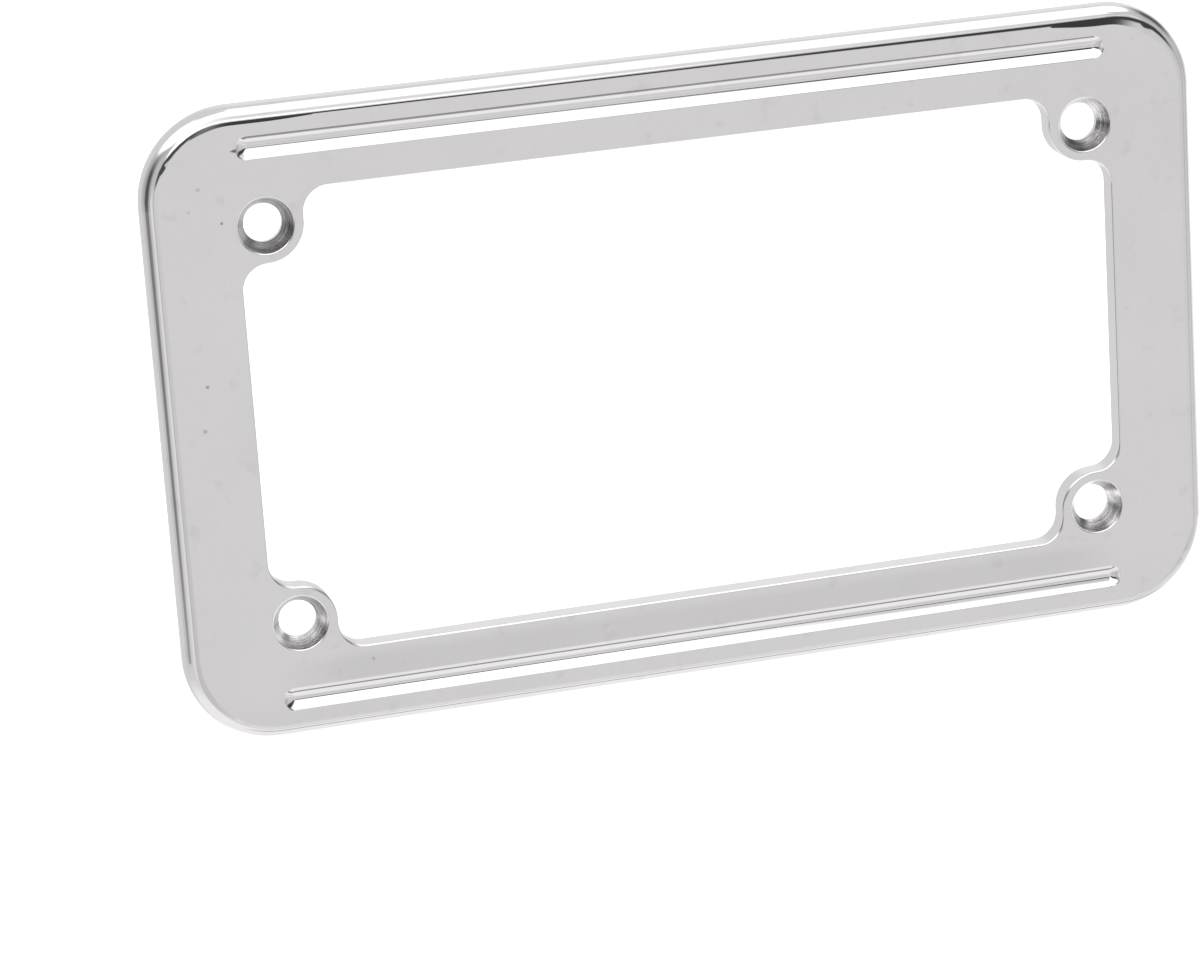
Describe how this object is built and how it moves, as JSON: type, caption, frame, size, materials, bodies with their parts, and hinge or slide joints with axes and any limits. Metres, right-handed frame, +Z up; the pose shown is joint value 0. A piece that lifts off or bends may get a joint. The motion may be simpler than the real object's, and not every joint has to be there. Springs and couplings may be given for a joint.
{
  "type": "number plate holder",
  "caption": "Flat polished frame that screws over a motorcycle number plate, with rounded edges, an eared window, countersunk corner holes and grooved rails.",
  "frame": {"origin": "centre of the four screw holes, on the flat back face that lies on the number plate", "axes": "+Z up as fitted to the vehicle, +X along the frame's width, and the decorated front face looks along -Y, so +Y points into the vehicle"},
  "size_m": [0.1872, 0.004, 0.111],
  "materials": {
    "polished_aluminium": "polished"
  },
  "bodies": {
    "root": {"plate_frame": "polished_aluminium"}
  },
  "joints": []
}
